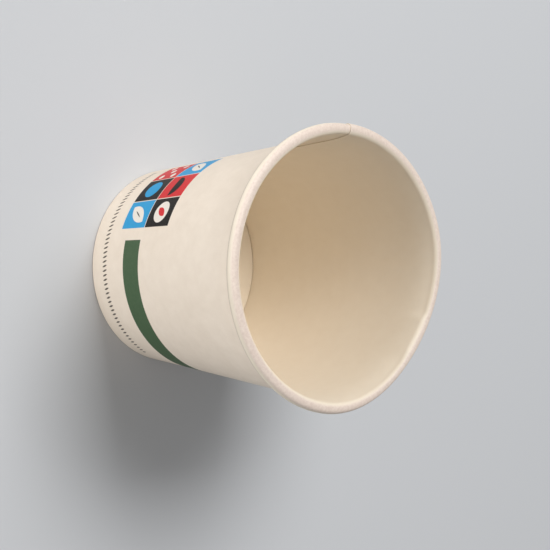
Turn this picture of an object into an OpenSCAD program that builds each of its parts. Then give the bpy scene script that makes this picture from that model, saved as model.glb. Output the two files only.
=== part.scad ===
// Paper espresso cup: a side wall of coated board, wound round and lapped on itself, with its
// top edge rolled outwards into a rim and its lower edge folded up inside as a hem, and a
// bottom disc whose turned-down skirt is clamped between the wall and the hem.
// The axis is Z, the foot stands on z = 0 and the side seam is on the -X side.

/* [Side wall] */
// Height from the foot to the top of the rim
height = 60; // [45:1:90]
// Outer diameter of the wall at the foot
foot_d = 45; // [38:0.5:50]
// Thickness of the side wall's board
board = 0.3; // [0.2:0.05:0.4]

/* [Rolled rim] */
// Outer diameter of the rim before the dent
rim_d = 62; // [58:0.5:68]
// Diameter of the roll
roll_d = 2.6; // [2.2:0.1:3.2]
// How far the wall leans outwards between the neck and the inner side of the roll
flare = 0.6; // [0.3:0.1:1.5]
// Height from the neck, where the flare starts, to the underside of the roll
neck_drop = 1; // [0.5:0.1:3]
// Clearance between the cut edge of the roll and the wall under it
roll_gap = 0.1; // [0.05:0.05:0.2]

/* [Side seam] */
// Direction of the inner flap's cut edge, from +X
seam_angle = 175; // [0:1:359]
// Width of the lap, as an angle round the axis
lap_angle = 13; // [8:1:20]
// Angle over which the outer flap comes back to the round beside the lap
ramp_angle = 12; // [10:1:30]

/* [Dent] */
// Depth of the dent in the mouth
dent_depth = 1.9; // [0:0.1:3]
// Direction of the deepest point of the dent, from +X
dent_angle = 50; // [0:1:359]
// Angle from the deepest point to where the dent runs out
dent_half = 60; // [50:1:80]

/* [Bottom] */
// Height of the disc's upper face above the foot
disc_z = 4.5; // [3.5:0.1:8]
// Thickness of the disc's board
disc_board = 0.3; // [0.2:0.05:0.4]
// Outer radius of the bend from the disc into its skirt
bend_r = 0.6; // [0.5:0.1:1]
// Height left between the hem's cut edge and the underside of the disc
hem_drop = 0.7; // [0.4:0.1:1.5]
// Height left between the skirt's cut edge and the fold of the foot
skirt_drop = 0.3; // [0.1:0.1:0.8]
// Inner radius of the corners of the fold
fold_r = 0.08; // [0.05:0.01:0.15]
// Clearance between the skirt and the two boards that clamp it
seat_gap = 0.05; // [0.04:0.01:0.1]

/* [Hidden] */

paper_colour = [0.93, 0.88, 0.81];
lining_colour = [0.85, 0.76, 0.63];

// Steps round the axis: beside the lap, round the rest of the wall, and over the lap
ramp_steps = 5;
round_steps = 66;
lap_steps = 3;
// Angle that a cut edge of the board takes up
edge_angle = 0.25;
// Steps along the roll, and along each bend of the board
roll_steps = 12;
bend_steps = 3;

// The wall is a cone up to the neck
neck_z = height - roll_d - neck_drop;
neck_in_r = rim_d / 2 - roll_d - flare;
wall_slope = (neck_in_r + board - foot_d / 2) / neck_z;

// Radii at height z of the wall's inner face, the skirt's two faces and the hem's outer face
function wall_in(z) = foot_d / 2 - board + wall_slope * z;
function skirt_out(z) = wall_in(z) - seat_gap;
function skirt_in(z) = skirt_out(z) - disc_board;
function hem_out(z) = skirt_in(z) - seat_gap;

// The roll's centre, and the direction in which the flare touches it
roll_r = roll_d / 2;
roll_at = [rim_d / 2 - roll_r, height - roll_r];
neck_at = [neck_in_r, neck_z];
to_roll = roll_at - neck_at;
flare_angle = atan2(to_roll.y, to_roll.x) + asin(roll_r / norm(to_roll));
roll_start = flare_angle + 90;

function turn(angle) = [cos(angle), sin(angle)];

// How far the roll turns before its cut edge meets a wall that is thicker by extra
function roll_turn(extra) = 360 - acos(1 - (board + extra + roll_gap) / roll_r);

// Stations along the board from the hem's edge to the roll's edge. Each holds a point on the
// face that lines the cup, the direction through the board, and 1 where the lap is doubled.
fold_z = board + fold_r;
fold_hem = [hem_out(fold_z) + fold_r, fold_z];
fold_wall = [wall_in(fold_z) - fold_r, fold_z];
hem_z = disc_z - disc_board - hem_drop;
lap_z = fold_z + board;

function bend_angles(from) = [for (i = [0 : bend_steps]) from + 90 * i / bend_steps];
function stations(extra) = concat(
    [[[hem_out(hem_z), hem_z], [-1, 0], 0]],
    [for (a = bend_angles(180)) [fold_hem + fold_r * turn(a), turn(a), 0]],
    [for (a = bend_angles(270)) [fold_wall + fold_r * turn(a), turn(a), 0]],
    [for (z = [lap_z, disc_z, neck_z]) [[wall_in(z), z], [1, 0], 1]],
    [for (i = [0 : roll_steps])
        let (a = roll_start - i * roll_turn(extra) / roll_steps)
        [roll_at + roll_r * turn(a), -turn(a), 1]]
);

// The board's closed section where the lining face is set back by inner and the other by outer
function section(inner, outer) =
    let (path = stations(outer), last = len(path) - 1)
    concat(
        [for (s = path) s[0] + (board + outer * s[2]) * s[1]],
        [for (i = [last : -1 : 0]) path[i][0] + inner * path[i][2] * path[i][1]]
    );

// Angles round the seam, from the inner flap's edge, each with the set-back of the two faces
round_span = 360 - ramp_angle - lap_angle - edge_angle;
seam_rings = concat(
    [for (i = [0 : ramp_steps - 1])
        let (left = board * (1 - i / ramp_steps))
        [i * ramp_angle / ramp_steps, left, left]],
    [for (i = [0 : round_steps]) [ramp_angle + i * round_span / round_steps, 0, 0]],
    [for (i = [0 : lap_steps])
        [360 - lap_angle + i * (lap_angle - edge_angle) / lap_steps, 0, board]]
);

// Radial shift of the mouth: the dent, and the slight swelling elsewhere that keeps its length
dent_swell = dent_depth * dent_half / 360;
function off_dent(angle) = abs((angle - dent_angle + 540) % 360 - 180);
function dent_shape(off) = off < dent_half ? pow(cos(90 * off / dent_half), 2) : 0;
function mouth_shift(angle) = dent_swell - dent_depth * dent_shape(off_dent(angle));

// The bottom disc holds the wall round, so the shift grows from there to the rim
function shift_share(z) = max(0, (z - disc_z) / (height - disc_z));

function ring_points(ring) =
    let (angle = ring[0] + seam_angle, shift = mouth_shift(angle))
    [for (p = section(ring[1], ring[2]))
        let (r = p.x + shift * shift_share(p.y))
        [r * cos(angle), r * sin(angle), p.y]];

module side_wall() {
    rings = len(seam_rings);
    sides = len(section(0, 0));
    points = [for (ring = seam_rings) each ring_points(ring)];
    faces = [for (i = [0 : rings - 1], j = [0 : sides - 1])
        let (here = i * sides, next = (i + 1) % rings * sides, k = (j + 1) % sides)
        each [[here + j, here + k, next + k], [here + j, next + k, next + j]]];
    color(paper_colour)
        polyhedron(points, faces);
}

// The disc's section: a flat board that bends down into a skirt parallel to the wall
bend_z = disc_z - bend_r;
bend_at = [skirt_out(bend_z) - bend_r, bend_z];
skirt_z = board + skirt_drop;

module bottom_disc() {
    color(lining_colour)
        rotate_extrude($fn = 96)
            polygon(concat(
                [[0, disc_z - disc_board], [0, disc_z]],
                [for (i = [0 : bend_steps]) bend_at + bend_r * turn(90 - 90 * i / bend_steps)],
                [[skirt_out(skirt_z), skirt_z], [skirt_in(skirt_z), skirt_z]],
                [for (i = [0 : bend_steps])
                    bend_at + (bend_r - disc_board) * turn(90 * i / bend_steps)]
            ));
}

side_wall();
bottom_disc();
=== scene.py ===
import math

import bmesh
import bpy
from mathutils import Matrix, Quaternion, Vector, noise


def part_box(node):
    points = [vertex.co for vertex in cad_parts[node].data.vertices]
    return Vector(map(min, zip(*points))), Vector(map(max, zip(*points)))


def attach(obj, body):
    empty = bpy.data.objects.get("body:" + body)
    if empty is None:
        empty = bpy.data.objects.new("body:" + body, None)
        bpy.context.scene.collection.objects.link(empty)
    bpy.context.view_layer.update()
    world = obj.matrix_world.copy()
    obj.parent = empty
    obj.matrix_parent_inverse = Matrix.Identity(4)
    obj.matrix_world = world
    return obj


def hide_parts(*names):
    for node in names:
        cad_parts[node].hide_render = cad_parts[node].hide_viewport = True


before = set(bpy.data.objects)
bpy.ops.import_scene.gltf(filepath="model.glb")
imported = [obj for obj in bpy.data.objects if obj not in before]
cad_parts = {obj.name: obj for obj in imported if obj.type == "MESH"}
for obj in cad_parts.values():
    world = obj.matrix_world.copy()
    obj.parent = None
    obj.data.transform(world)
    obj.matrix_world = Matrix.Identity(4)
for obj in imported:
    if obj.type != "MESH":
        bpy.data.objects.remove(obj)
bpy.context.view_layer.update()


# Side wall
# One fan-shaped blank of coated paperboard, wound round a mandrel and lapped on itself, with the
# lap heat-sealed. Its top edge is rolled outwards into the rim and its lower edge is folded in
# and up as a knurled hem. The mouth has been pressed in at one place.
MM = 0.001
BOARD = 0.3 * MM
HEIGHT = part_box("side_wall")[1].z
FOOT_R = 22.5 * MM
RIM_R = 31 * MM
ROLL_R = 1.3 * MM
ROLL_SQUARING = 0.8
FLARE = 0.6 * MM
NECK_DROP = 1 * MM
NECK_EASE = 3 * MM
ROLL_GAP = 0.12 * MM
DISC_Z = 4.5 * MM
DISC_BOARD = 0.3 * MM
SEAT_GAP = 0.05 * MM
HEM_Z = 3.5 * MM
FOLD_R = 0.08 * MM

# Angles are in degrees round the axis, from +X
SEAM_ANGLE = 175
LAP_ANGLE = 13
RAMP_ANGLE = 12
LAP_GAP = 0.02 * MM
LAP_PRESSED = 0.55
FLAP_Z = 0.03 * MM
FLAP_ROWS = 3
DENT_DEPTH = 1.9 * MM
DENT_ANGLE = 50
DENT_HALF = 60
PINCH_Z = 48 * MM
PINCH_POWER = 3
# Beside the dent's fold the roll is pressed on both sides. Each side has its middle, the way
# it runs, half the angle over which it deepens, the angle over which it fades, and its depth.
PINCHES = ((66, 1, 2.5, 110, 0.41 * MM), (44, -1, 7, 55, 0.5 * MM))
KNURLS = 72
KNURL_DEPTH = 0.13 * MM
KNURL_Z = 0.66 * MM
UNEVEN_DEPTH = 0.05 * MM
UNEVEN_PER_M = 70

FOLD_STEPS = 4
HEM_STEPS = 8
WALL_STEPS = 30
FLARE_STEPS = 10
ROLL_STEPS = 48
RING_STEP = 1.0
SHARP_ANGLE = 40

neck = Vector((RIM_R - 2 * ROLL_R - FLARE, HEIGHT - 2 * ROLL_R - NECK_DROP))
roll_at = Vector((RIM_R - ROLL_R, HEIGHT - ROLL_R))
wall_slope = (neck.x + BOARD - FOOT_R) / neck.y
hem_inset = DISC_BOARD + 2 * SEAT_GAP


def wall_in(z):
    """Radius of the wall's lining face at a height, up to the neck."""
    return FOOT_R - BOARD + wall_slope * z


def turned(angle):
    """Direction at an angle in degrees."""
    return Vector((math.cos(math.radians(angle)), math.sin(math.radians(angle))))


def arc(centre, radius, start, stop, steps):
    """Points along an arc, with its ends."""
    return [centre + radius * turned(start + (stop - start) * i / steps) for i in range(steps + 1)]


def straight(start, stop, steps):
    """Points between two ends, without the ends."""
    return [start.lerp(stop, i / steps) for i in range(1, steps)]


def eased(start, corner, stop, steps):
    """A curve that leaves one line and joins another without a corner, with its ends."""
    return [start.lerp(corner, i / steps).lerp(corner.lerp(stop, i / steps), i / steps)
            for i in range(steps + 1)]


def squared(point):
    """Moves a point of the roll's outer top outwards, where forming has pressed it flatter."""
    off = (point - roll_at) / ROLL_R
    if min(off) <= 0:
        return point
    return roll_at + ROLL_R * Vector((off.x ** ROLL_SQUARING, off.y ** ROLL_SQUARING))


def lining_path():
    """Section of the board's lining face, from the hem's cut edge to the cut edge of the roll."""
    fold_z = BOARD + FOLD_R
    wall_r = wall_in(fold_z)
    hem_r = wall_r - hem_inset
    hem_top = Vector((wall_in(HEM_Z) - hem_inset, HEM_Z))
    hem_fold = arc(Vector((hem_r + FOLD_R, fold_z)), FOLD_R, 180, 270, FOLD_STEPS)
    wall_fold = arc(Vector((wall_r - FOLD_R, fold_z)), FOLD_R, 270, 360, FOLD_STEPS)
    to_roll = roll_at - neck
    lean = math.atan2(to_roll.y, to_roll.x) + math.asin(ROLL_R / to_roll.length)
    start = math.degrees(lean) + 90
    turn = 360 - math.degrees(math.acos(1 - (2 * BOARD + ROLL_GAP) / ROLL_R))
    roll = [squared(point) for point in arc(roll_at, ROLL_R, start, start - turn, ROLL_STEPS)]
    foot = [hem_top] + straight(hem_top, hem_fold[0], HEM_STEPS) + hem_fold + wall_fold
    ease_z = neck.y - NECK_EASE
    ease_from = Vector((wall_in(ease_z), ease_z))
    wall = straight(wall_fold[-1], ease_from, WALL_STEPS)
    flare = eased(ease_from, neck, roll[0], FLARE_STEPS)[:-1]
    return foot + wall + flare + roll, len(foot)


def part_of_turn(angle, middle):
    """Angle from a direction, between -180 and 180."""
    return (angle - middle + 540) % 360 - 180


def mouth_shift(angle):
    """Radial shift of the rim: the dent, and the slight swelling that keeps the rim's length."""
    off = abs(part_of_turn(angle, DENT_ANGLE))
    dent = math.cos(math.radians(90 * off / DENT_HALF)) ** 2 if off < DENT_HALF else 0
    return DENT_DEPTH * (DENT_HALF / 360 - dent)


def thinned(wind):
    """Share of the inner flap's thickness that sealing leaves, at an angle from the lap's start."""
    return 1 - (1 - LAP_PRESSED) * max(0, min(1, wind / LAP_ANGLE))


def set_back(wind):
    """How far the outer flap lies behind the inner one, at an angle from the outer flap's edge."""
    ramp = (wind - LAP_ANGLE) / RAMP_ANGLE
    return (BOARD * thinned(wind) + LAP_GAP) * max(0, min(1, 1 - ramp))


def pinch(angle):
    """How far the roll's inner side is pressed outwards, beside the fold that the dent left."""
    total = 0
    for middle, way, half, fading, depth in PINCHES:
        past = way * part_of_turn(angle, middle)
        rise = max(0, min(1, (past + half) / (2 * half)))
        fade = max(0, 1 - max(0, past) / fading)
        total += depth * rise * rise * (3 - 2 * rise) * fade
    return total


def unevenness(r, angle, z):
    """Slight waves that winding and sealing leave in the wall."""
    here = Vector((r, 0, z)) * UNEVEN_PER_M
    here.rotate(Quaternion((0, 0, 1), math.radians(angle)))
    return UNEVEN_DEPTH * noise.noise(here)


def new_object(name, bm, *materials):
    """Puts a finished mesh into the scene, with its materials in their order."""
    mesh = bpy.data.meshes.new(name)
    bm.to_mesh(mesh)
    bm.free()
    piece = bpy.data.objects.new(name, mesh)
    bpy.context.scene.collection.objects.link(piece)
    for material in materials:
        mesh.materials.append(material)
    return piece


def give_thickness(piece, thickness, share=""):
    """Turns a sheet of lining into board: its back has the second material, its edges the third."""
    solid = piece.modifiers.new("board", "SOLIDIFY")
    solid.thickness = thickness
    solid.vertex_group = share
    solid.offset = -1
    solid.use_even_offset = True
    solid.material_offset = 1
    solid.material_offset_rim = 2
    made = piece.evaluated_get(bpy.context.evaluated_depsgraph_get())
    mesh = bpy.data.meshes.new_from_object(made)
    piece.modifiers.clear()
    piece.vertex_groups.clear()
    piece.data = mesh
    mesh.shade_smooth()
    mesh.set_sharp_from_angle(angle=math.radians(SHARP_ANGLE))


path, foot_count = lining_path()
through = []
for before, after in zip([path[0]] + path[:-1], path[1:] + [path[-1]]):
    along = (after - before).normalized()
    through.append(Vector((along.y, -along.x)))

# Each point keeps its number along the section, the share of the roll that has gone by, and
# the share of its thickness that the board has there
bm = bmesh.new()
station = bm.verts.layers.int.new("station")
rolled = bm.verts.layers.float.new("rolled")
thickness = bm.verts.layers.deform.verify()
roll_from = len(path) - 1 - ROLL_STEPS
chain = []
for number, point in enumerate(path):
    start = turned(SEAM_ANGLE - LAP_ANGLE) * point.x
    chain.append(bm.verts.new((start.x, start.y, point.y)))
    chain[-1][station] = number
    chain[-1][rolled] = max(0, (number - roll_from) / ROLL_STEPS)
edges = [bm.edges.new(pair) for pair in zip(chain, chain[1:])]
wound = 360 + LAP_ANGLE
rings = round(wound / RING_STEP)
bmesh.ops.spin(bm, geom=chain + edges, cent=(0, 0, 0), axis=(0, 0, 1),
               angle=math.radians(wound), steps=rings)

# The sheet is still round and single here: the lap, knurls, dent, pinch and waves follow
bm.verts.index_update()
under_flap = []
for vert in bm.verts:
    number = vert[station]
    wind = vert.index // len(path) * wound / rings
    angle = SEAM_ANGLE - LAP_ANGLE + wind
    on_flap = wind < LAP_ANGLE - RING_STEP / 2
    r, z = path[number]
    if on_flap and number < foot_count - FLAP_ROWS:
        under_flap.append(vert)
    elif on_flap and number < foot_count:
        risen = (number + FLAP_ROWS - foot_count) / FLAP_ROWS
        z = FLAP_Z + (path[foot_count - 1].y - FLAP_Z) * risen
        r = wall_in(z) + set_back(wind)
    elif number <= HEM_STEPS:
        wave = 0.5 - 0.5 * math.cos(math.radians(KNURLS * angle))
        pressed = max(0, min(1, (z - KNURL_Z) / BOARD, (HEM_Z - z) / BOARD))
        r -= KNURL_DEPTH * wave * pressed
    elif number >= foot_count:
        free = max(0, (z - DISC_Z) / (HEIGHT - DISC_Z))
        pinched = max(0, min(1, (z - PINCH_Z) / (roll_at.y - PINCH_Z))) ** PINCH_POWER
        inner_side = max(0, min(1, (roll_at.x - r) / ROLL_R))
        shift = (mouth_shift(angle) + unevenness(r, angle, z)) * free
        r += through[number].x * set_back(wind) + pinch(angle) * pinched * inner_side + shift
        z += through[number].y * set_back(wind)
    out = turned(angle) * r
    vert.co = (out.x, out.y, z)
    vert[thickness][0] = thinned(wind - 360)
bmesh.ops.delete(bm, geom=under_flap, context="VERTS")

# The lining faces the axis, and the board's thickness goes outwards from it
bm.normal_update()
probe = min(bm.faces, key=lambda face: abs(face.calc_center_median().z - HEIGHT / 2))
if probe.normal.xy.dot(probe.calc_center_median().xy) > 0:
    bmesh.ops.reverse_faces(bm, faces=bm.faces)


class Nodes:
    """A material's node tree, with short calls for the arithmetic that its masks need."""

    def __init__(self, tree):
        self.tree = tree

    def add(self, kind, **settings):
        node = self.tree.nodes.new(kind)
        for name, value in settings.items():
            setattr(node, name, value)
        return node

    def link(self, source, socket):
        self.tree.links.new(source, socket)

    def feed(self, sockets, values):
        """Links each socket to a node's output, or sets it where the value is plain."""
        for socket, value in zip(sockets, values):
            if isinstance(value, bpy.types.NodeSocket):
                self.link(value, socket)
            else:
                socket.default_value = value

    def math(self, operation, *values, clamp=False):
        node = self.add("ShaderNodeMath", operation=operation, use_clamp=clamp)
        self.feed(node.inputs, values)
        return node.outputs[0]

    def mix(self, mask, first, second):
        """The first colour where the mask is 0, and the second where it is 1."""
        node = self.add("ShaderNodeMix", data_type="RGBA")
        factor, a, b = node.inputs[0], node.inputs[6], node.inputs[7]
        self.feed((factor, a, b), (mask, first, second))
        return node.outputs[2]

    def noise(self, vector, scale, detail=2.0, roughness=0.5):
        node = self.add("ShaderNodeTexNoise")
        self.link(vector, node.inputs["Vector"])
        node.inputs["Scale"].default_value = scale
        node.inputs["Detail"].default_value = detail
        node.inputs["Roughness"].default_value = roughness
        return node.outputs["Fac"]

    def bump(self, height, strength, distance):
        node = self.add("ShaderNodeBump")
        self.link(height, node.inputs["Height"])
        node.inputs["Strength"].default_value = strength
        node.inputs["Distance"].default_value = distance
        return node

    def axes(self, vector):
        node = self.add("ShaderNodeSeparateXYZ")
        self.link(vector, node.inputs[0])
        return node.outputs

    def ramp(self, value, low, high):
        """0 up to low, 1 from high, and straight between them."""
        return self.math("DIVIDE", self.math("SUBTRACT", value, low), high - low, clamp=True)

    def within(self, inside, edge):
        """1 where a distance inside an outline is above 0, with an edge of the width given."""
        return self.math("ADD", self.math("DIVIDE", inside, edge), 0.5, clamp=True)

    def between(self, value, low, high, edge):
        """1 from low to high, with edges of the width given."""
        above = self.math("SUBTRACT", value, low)
        below = self.math("SUBTRACT", high, value)
        return self.within(self.math("MINIMUM", above, below), edge)


def srgb(red, green, blue):
    """A colour written as it looks on a screen, from 0 to 255, as the shader takes it."""
    parts = [c / 255 for c in (red, green, blue)]
    return tuple(c / 12.92 if c < 0.04045 else ((c + 0.055) / 1.055) ** 2.4 for c in parts) + (1,)


# Paperboard: how many fibres, tufts of felt and clouds of tone there are in a metre
FIBRES_PER_M = 5200
FIBRE_STRETCH = (1, 1, 0.45)
FELT_PER_M = 1400
FINE_CLOUDS_PER_M = 330
BROAD_CLOUDS_PER_M = 45
FINE_SHARE = 0.6
CLOUD_RANGE = (0.3, 0.7)
FIBRE_STRENGTH = 0.45
ROUGHNESS_SPREAD = 0.16


def paper_fibre_group():
    """Pressed pulp: the height of its fibres, and the cloudiness of a sheet held to the light."""
    group = bpy.data.node_groups.new("paper_fibre", "ShaderNodeTree")
    group.interface.new_socket("Vector", in_out="INPUT", socket_type="NodeSocketVector")
    group.interface.new_socket("Height", in_out="OUTPUT", socket_type="NodeSocketFloat")
    group.interface.new_socket("Cloud", in_out="OUTPUT", socket_type="NodeSocketFloat")
    nodes = Nodes(group)
    inlet = nodes.add("NodeGroupInput").outputs["Vector"]
    outlet = nodes.add("NodeGroupOutput")
    stretch = nodes.add("ShaderNodeMapping")
    stretch.inputs["Scale"].default_value = FIBRE_STRETCH
    nodes.link(inlet, stretch.inputs["Vector"])
    fibres = nodes.noise(stretch.outputs["Vector"], FIBRES_PER_M, detail=3, roughness=0.6)
    felt = nodes.noise(inlet, FELT_PER_M, detail=3, roughness=0.55)
    height = nodes.math("MULTIPLY", nodes.math("ADD", fibres, felt), 0.5)
    fine = nodes.noise(inlet, FINE_CLOUDS_PER_M, detail=4, roughness=0.6)
    broad = nodes.noise(inlet, BROAD_CLOUDS_PER_M)
    cloud = nodes.math("ADD", nodes.math("MULTIPLY", fine, FINE_SHARE),
                       nodes.math("MULTIPLY", broad, 1 - FINE_SHARE))
    nodes.link(height, outlet.inputs["Height"])
    nodes.link(cloud, outlet.inputs["Cloud"])
    return group


paper_fibre = paper_fibre_group()


class Board:
    """A face of paperboard whose colour clouds between two close tones, with its fibres' relief."""

    def __init__(self, name, pale, deep, roughness, relief, specular):
        self.material = bpy.data.materials.new(name)
        self.material.use_nodes = True
        self.nodes = nodes = Nodes(self.material.node_tree)
        self.shader = self.material.node_tree.nodes["Principled BSDF"]
        self.shader.inputs["Specular IOR Level"].default_value = specular
        self.place = nodes.add("ShaderNodeTexCoord").outputs["Object"]
        fibre = nodes.add("ShaderNodeGroup", node_tree=paper_fibre)
        nodes.link(self.place, fibre.inputs["Vector"])
        self.height = fibre.outputs["Height"]
        self.colour = nodes.mix(nodes.ramp(fibre.outputs["Cloud"], *CLOUD_RANGE), deep, pale)
        rougher = nodes.math("MULTIPLY", self.height, ROUGHNESS_SPREAD)
        self.roughness = nodes.math("ADD", rougher, roughness - ROUGHNESS_SPREAD / 2)
        self.bump = nodes.bump(self.height, FIBRE_STRENGTH, relief)
        nodes.link(self.bump.outputs["Normal"], self.shader.inputs["Normal"])
        nodes.link(self.colour, self.shader.inputs["Base Color"])
        nodes.link(self.roughness, self.shader.inputs["Roughness"])


# The film on the lining is finely marked along the top of the roll, where painted shade gives it a
# darker, pinker tone, and painted shade darkens it where the roll turns under. Both follow the
# share of the roll that has gone by.
ROLL_TOP = (0.17, 0.46)
ROLL_TOP_EDGE = 0.1
ROLL_UNDER = (0.55, 0.64)
# Painted shade: the top of the roll gets a darker, pinker tone, mottled by its marks
TOP_SHADE_DEEP = srgb(222, 204, 191)
TOP_SHADE_PALE = srgb(233, 217, 204)
# Painted shade: a darker tone where the roll turns under towards the wall
UNDER_SHADE = srgb(205, 190, 172)
MARKS_ROUND = 48
MARK_REACH = 0.26
MARK_RANGE = (0.35, 0.65)
MARK_STRENGTH = 0.5
MARK_RELIEF = 0.018 * MM
lining = Board("cup_lining", pale=srgb(245, 233, 214), deep=srgb(241, 228, 208),
               roughness=0.5, relief=0.02 * MM, specular=0.35)
nodes = lining.nodes
round_roll = nodes.add("ShaderNodeAttribute", attribute_name="rolled").outputs["Fac"]
on_top = nodes.between(round_roll, *ROLL_TOP, ROLL_TOP_EDGE)
level = nodes.add("ShaderNodeVectorMath", operation="MULTIPLY")
nodes.link(lining.place, level.inputs[0])
level.inputs[1].default_value = (1, 1, 0)
outward = nodes.add("ShaderNodeVectorMath", operation="NORMALIZE")
nodes.link(level.outputs["Vector"], outward.inputs[0])
out_x, out_y = nodes.axes(outward.outputs["Vector"])[:2]
mark_at = nodes.add("ShaderNodeCombineXYZ")
nodes.feed(mark_at.inputs, (out_x, out_y, nodes.math("MULTIPLY", round_roll, MARK_REACH)))
mark = nodes.noise(mark_at.outputs["Vector"], MARKS_ROUND, detail=3, roughness=0.6)
# Painted shade on the top of the roll, in two tones that follow the marks
top_shade = nodes.mix(nodes.ramp(mark, *MARK_RANGE), TOP_SHADE_DEEP, TOP_SHADE_PALE)
film = nodes.mix(on_top, lining.colour, top_shade)
# Painted shade darkens the roll's underside
film = nodes.mix(nodes.ramp(round_roll, *ROLL_UNDER), film, UNDER_SHADE)
nodes.link(film, lining.shader.inputs["Base Color"])
mark_bump = nodes.bump(nodes.math("MULTIPLY", mark, on_top), MARK_STRENGTH, MARK_RELIEF)
nodes.link(lining.bump.outputs["Normal"], mark_bump.inputs["Normal"])
nodes.link(mark_bump.outputs["Normal"], lining.shader.inputs["Normal"])

cut_edge = Board("board_cut_edge", pale=srgb(238, 226, 208), deep=srgb(214, 200, 178),
                 roughness=0.8, relief=0.05 * MM, specular=0.2)

# The print on the outside: a plain stripe, a panel of six tiles with simple shapes, and a border
# of small leaves. Fibres that stand up from the board show a little through the ink.
GREEN = srgb(70, 96, 66)
BLUE = srgb(44, 158, 212)
RED = srgb(214, 42, 46)
BLACK = srgb(20, 17, 14)
PALE = srgb(240, 231, 219)
GREY = srgb(92, 85, 75)
INK_EDGE = 0.06 * MM
INK_EDGE_ANGLE = 0.12
INK_BLEED = 0.08 * MM
BLEEDS_PER_M = 2600
FIBRE_TIPS = (0.42, 0.65)
INK_SHOW = 0.02
INK_SMOOTH = 0.12
printed = Board("printed_board", pale=srgb(245, 231, 214), deep=srgb(236, 221, 203),
                roughness=0.55, relief=0.025 * MM, specular=0.15)
nodes = printed.nodes
east, north, up = nodes.axes(printed.place)
bleed = nodes.math("SUBTRACT", nodes.noise(printed.place, BLEEDS_PER_M), 0.5)
up = nodes.math("ADD", up, nodes.math("MULTIPLY", bleed, INK_BLEED))
bare = nodes.math("MULTIPLY", nodes.ramp(printed.height, *FIBRE_TIPS), INK_SHOW)
cover = nodes.math("SUBTRACT", 1, bare)


def angle_from(middle):
    """Angle round the cup in degrees, from the direction called middle, between -180 and 180."""
    cos, sin = turned(middle)
    ahead = nodes.math("ADD", nodes.math("MULTIPLY", east, cos),
                       nodes.math("MULTIPLY", north, sin))
    beside = nodes.math("SUBTRACT", nodes.math("MULTIPLY", north, cos),
                        nodes.math("MULTIPLY", east, sin))
    return nodes.math("DEGREES", nodes.math("ARCTAN2", beside, ahead))


def ink(mask, tone):
    """Lays one more colour of ink over what is printed so far."""
    printed.colour = nodes.mix(nodes.math("MULTIPLY", mask, cover), printed.colour, tone)


def smooth(mask):
    """Ink fills the board's pores, so a broad field of it is a little smoother."""
    filled = nodes.math("MULTIPLY", mask, INK_SMOOTH)
    printed.roughness = nodes.math("SUBTRACT", printed.roughness, filled)


STRIPE_Z = (13.4 * MM, 19.8 * MM)
STRIPE_FROM = 254.7
STRIPE_TO = 519
stripe_half = (STRIPE_TO - STRIPE_FROM) / 2
stripe_angle = angle_from((STRIPE_FROM + STRIPE_TO) / 2)
stripe = nodes.math("MULTIPLY", nodes.between(up, *STRIPE_Z, INK_EDGE),
                    nodes.between(stripe_angle, -stripe_half, stripe_half, INK_EDGE_ANGLE))
ink(stripe, GREEN)
smooth(stripe)

PANEL_ANGLE = 222.65
PANEL_R = 24.5 * MM
PANEL_Z = 10.6 * MM
TILE = Vector((7.3, 9.5)) * MM
TILE_GAP = 0.2 * MM
panel_arc = nodes.math("MULTIPLY", angle_from(PANEL_ANGLE), math.radians(PANEL_R))


def tile_middle(column, row):
    """Place of a tile's middle on the panel, round the cup and up it."""
    return Vector((column * TILE.x, PANEL_Z + (row + 0.5) * TILE.y))


def tile(column, row, tone):
    """A plain field of ink, with a line of bare board left round it."""
    middle = tile_middle(column, row)
    half = (TILE - Vector((TILE_GAP, TILE_GAP))) / 2
    across = nodes.between(panel_arc, middle.x - half.x, middle.x + half.x, INK_EDGE)
    upright = nodes.between(up, middle.y - half.y, middle.y + half.y, INK_EDGE)
    mask = nodes.math("MULTIPLY", across, upright)
    ink(mask, tone)
    smooth(mask)


def spot(at, radius):
    """Mask of a round spot on the panel."""
    side = nodes.math("SUBTRACT", panel_arc, at.x)
    rise = nodes.math("SUBTRACT", up, at.y)
    squares = nodes.math("ADD", nodes.math("MULTIPLY", side, side),
                         nodes.math("MULTIPLY", rise, rise))
    inside = nodes.math("SUBTRACT", radius, nodes.math("SQRT", squares))
    return nodes.within(inside, INK_EDGE)


LEAF_LEAN = 55
LEAF_R = 4.6 * MM
LEAF_APART = 2.9 * MM
VEIN_R = 9 * MM
VEIN_APART = 8.85 * MM
FRUIT_R = 2.6 * MM
SEED_R = 2.3 * MM
SEED_APART = 1.45 * MM
SPOT_R = 2.5 * MM
DOME_R = 2.9 * MM
DOME_DROP = Vector((0, 1.4)) * MM
DOT_R = 0.8 * MM
DOT_SPREAD = 2.2 * MM


def leaf(at, radius, apart):
    """Mask of a pointed leaf, where two round spots overlap."""
    aside = turned(LEAF_LEAN + 90) * apart
    return nodes.math("MINIMUM", spot(at + aside, radius), spot(at - aside, radius))


tile(1, 0, BLUE)
tile(1, 1, BLACK)
tile(0, 0, BLACK)
tile(0, 1, RED)
tile(-1, 0, RED)
tile(-1, 1, BLUE)
for leaf_at in (tile_middle(1, 0), tile_middle(-1, 1)):
    ink(leaf(leaf_at, LEAF_R, LEAF_APART), PALE)
    ink(leaf(leaf_at, VEIN_R, VEIN_APART), BLACK)
ink(spot(tile_middle(1, 1), FRUIT_R), PALE)
ink(leaf(tile_middle(1, 1), SEED_R, SEED_APART), RED)
ink(spot(tile_middle(0, 0), SPOT_R), BLUE)
dome_at = tile_middle(0, 1) - DOME_DROP
upper_half = nodes.between(up, dome_at.y, dome_at.y + TILE.y, INK_EDGE)
ink(nodes.math("MULTIPLY", spot(dome_at, DOME_R), upper_half), BLACK)
for side, rise in ((-1, -1), (-1, 1), (0, 0), (1, -1), (1, 1)):
    ink(spot(tile_middle(-1, 0) + Vector((side, rise)) * DOT_SPREAD, DOT_R), PALE)

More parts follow.
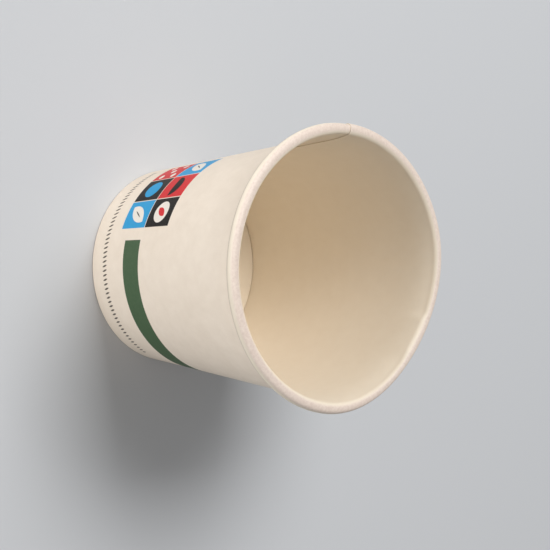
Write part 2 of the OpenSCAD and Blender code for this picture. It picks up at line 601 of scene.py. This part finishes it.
BORDER_Z = 5.5 * MM
BORDER_ANGLE = 265
BORDER_HALF = 65
BORDER_PITCH = 2.6
BORDER_LEAF = Vector((0.22, 0.95)) * MM
BORDER_SLANT = 260
border_angle = angle_from(BORDER_ANGLE)
rise = nodes.math("SUBTRACT", up, BORDER_Z)
turns = nodes.math("ADD", nodes.math("DIVIDE", border_angle, BORDER_PITCH),
                   nodes.math("MULTIPLY", rise, BORDER_SLANT))
aside = nodes.math("ABSOLUTE", nodes.math("SUBTRACT", nodes.math("FRACT", turns), 0.5))
aside = nodes.math("MULTIPLY", aside, math.radians(BORDER_PITCH) * wall_in(BORDER_Z))
share = nodes.math("DIVIDE", rise, BORDER_LEAF.y)
taper = nodes.math("SUBTRACT", 1, nodes.math("MULTIPLY", share, share))
leaf_half = nodes.math("MULTIPLY", taper, BORDER_LEAF.x)
leaves = nodes.within(nodes.math("SUBTRACT", leaf_half, aside), INK_EDGE)
run = nodes.between(border_angle, -BORDER_HALF, BORDER_HALF, INK_EDGE_ANGLE)
ink(nodes.math("MULTIPLY", leaves, run), GREY)
nodes.link(printed.colour, printed.shader.inputs["Base Color"])
nodes.link(printed.roughness, printed.shader.inputs["Roughness"])

side_wall = new_object("side_wall_board", bm, lining.material, printed.material, cut_edge.material)
side_wall.vertex_groups.new(name="thickness")
give_thickness(side_wall, BOARD, "thickness")
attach(side_wall, "root")
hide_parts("side_wall")


# Bottom disc
# A round blank of paperboard pressed into the foot of the wall, with its edge turned down as a
# skirt. The hem clamps the skirt against the wall, and heat seals all three.
BEND_R = 0.42 * MM
SKIRT_Z = 0.6 * MM
BEND_STEPS = 8
DISC_STEPS = 24
SKIRT_STEPS = 6
DISC_RINGS = 192
MERGE_WITHIN = 0.001 * MM


def disc_path():
    """Section of the disc's lining face, from the axis to the skirt's cut edge."""
    bend_z = DISC_Z - BEND_R
    bend_at = Vector((wall_in(bend_z) - SEAT_GAP - BEND_R, bend_z))
    bend = arc(bend_at, BEND_R, 90, 0, BEND_STEPS)
    centre = Vector((0, DISC_Z))
    skirt_end = Vector((wall_in(SKIRT_Z) - SEAT_GAP, SKIRT_Z))
    face = [centre] + straight(centre, bend[0], DISC_STEPS)
    return face + bend + straight(bend[-1], skirt_end, SKIRT_STEPS) + [skirt_end]


bm = bmesh.new()
chain = [bm.verts.new((point.x, 0, point.y)) for point in disc_path()]
edges = [bm.edges.new(pair) for pair in zip(chain, chain[1:])]
bmesh.ops.spin(bm, geom=chain + edges, cent=(0, 0, 0), axis=(0, 0, 1),
               angle=math.radians(360), steps=DISC_RINGS, use_merge=True)
bmesh.ops.remove_doubles(bm, verts=bm.verts, dist=MERGE_WITHIN)
bmesh.ops.recalc_face_normals(bm, faces=bm.faces)

# The lining faces up into the cup, and the board's thickness goes down from it
bm.normal_update()
probe = min(bm.faces, key=lambda face: face.calc_center_median().xy.length)
if probe.normal.z < 0:
    bmesh.ops.reverse_faces(bm, faces=bm.faces)

disc_lining = Board("disc_lining", pale=srgb(243, 231, 212), deep=srgb(238, 225, 205),
                    roughness=0.5, relief=0.02 * MM, specular=0.35)
disc_back = Board("disc_back", pale=srgb(241, 230, 214), deep=srgb(233, 220, 202),
                  roughness=0.7, relief=0.03 * MM, specular=0.25)
bottom_disc = new_object("bottom_disc_board", bm,
                         disc_lining.material, disc_back.material, cut_edge.material)
give_thickness(bottom_disc, DISC_BOARD)
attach(bottom_disc, "root")
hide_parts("bottom_disc")


# Floor, light and camera
# A plain pale floor that the cup stands on, a soft lamp over the mouth, a low one in front of the
# print, and the photo's own viewing angle, in which the cup's axis runs across the picture.
FLOOR_HALF = 6
FLOOR_DROP = 0.03 * MM
FLOOR_COLOUR = srgb(205, 207, 210)
FLOOR_ROUGHNESS = 0.9
bm = bmesh.new()
bmesh.ops.create_grid(bm, x_segments=1, y_segments=1, size=FLOOR_HALF)
bmesh.ops.translate(bm, verts=bm.verts, vec=(0, 0, -FLOOR_DROP))
floor_paint = bpy.data.materials.new("floor_paint")
floor_paint.use_nodes = True
floor_shader = floor_paint.node_tree.nodes["Principled BSDF"]
floor_shader.inputs["Base Color"].default_value = FLOOR_COLOUR
floor_shader.inputs["Roughness"].default_value = FLOOR_ROUGHNESS
floor = new_object("floor", bm, floor_paint)

WORLD_COLOUR = (1, 1, 1, 1)
WORLD_STRENGTH = 0.3
world = bpy.data.worlds.new("studio")
bpy.context.scene.world = world
world.use_nodes = True
background = world.node_tree.nodes["Background"]
background.inputs["Color"].default_value = WORLD_COLOUR
background.inputs["Strength"].default_value = WORLD_STRENGTH


def soft_lamp(name, place, width, height, power):
    """A lamp with a wide face, turned towards the middle of the cup. Lengths are in metres."""
    lamp = bpy.data.lights.new(name, "AREA")
    lamp.shape = "RECTANGLE"
    lamp.size = width
    lamp.size_y = height
    lamp.energy = power
    holder = bpy.data.objects.new(name, lamp)
    holder.location = place
    from_cup = Vector(place) - Vector((0, 0, HEIGHT / 2))
    holder.rotation_euler = from_cup.to_track_quat("Z", "Y").to_euler()
    holder.visible_camera = False
    bpy.context.scene.collection.objects.link(holder)


soft_lamp("mouth_lamp", place=(-0.376, 0, 0.736), width=0.4, height=0.4, power=5.1)
soft_lamp("front_lamp", place=(-0.2, -1.285, 0.035), width=0.9, height=0.06, power=8)

CAMERA_AT = Vector((-12.154, -292.222, 367.772)) * MM
CAMERA_AIM = Vector((1.721, -0.082, 37.946)) * MM
CAMERA_ROLL = 91.418
CAMERA_LENS = 129.58
CAMERA_SENSOR = 36
camera_data = bpy.data.cameras.new("photo_camera")
camera_data.sensor_width = CAMERA_SENSOR
camera_data.lens = CAMERA_LENS
camera = bpy.data.objects.new("photo_camera", camera_data)
sight = (CAMERA_AT - CAMERA_AIM).to_track_quat("Z", "Y")
camera.rotation_mode = "QUATERNION"
camera.rotation_quaternion = sight @ Quaternion((0, 0, 1), math.radians(CAMERA_ROLL))
camera.location = CAMERA_AT
bpy.context.scene.collection.objects.link(camera)
bpy.context.scene.camera = camera
bpy.context.scene.view_settings.view_transform = "Standard"
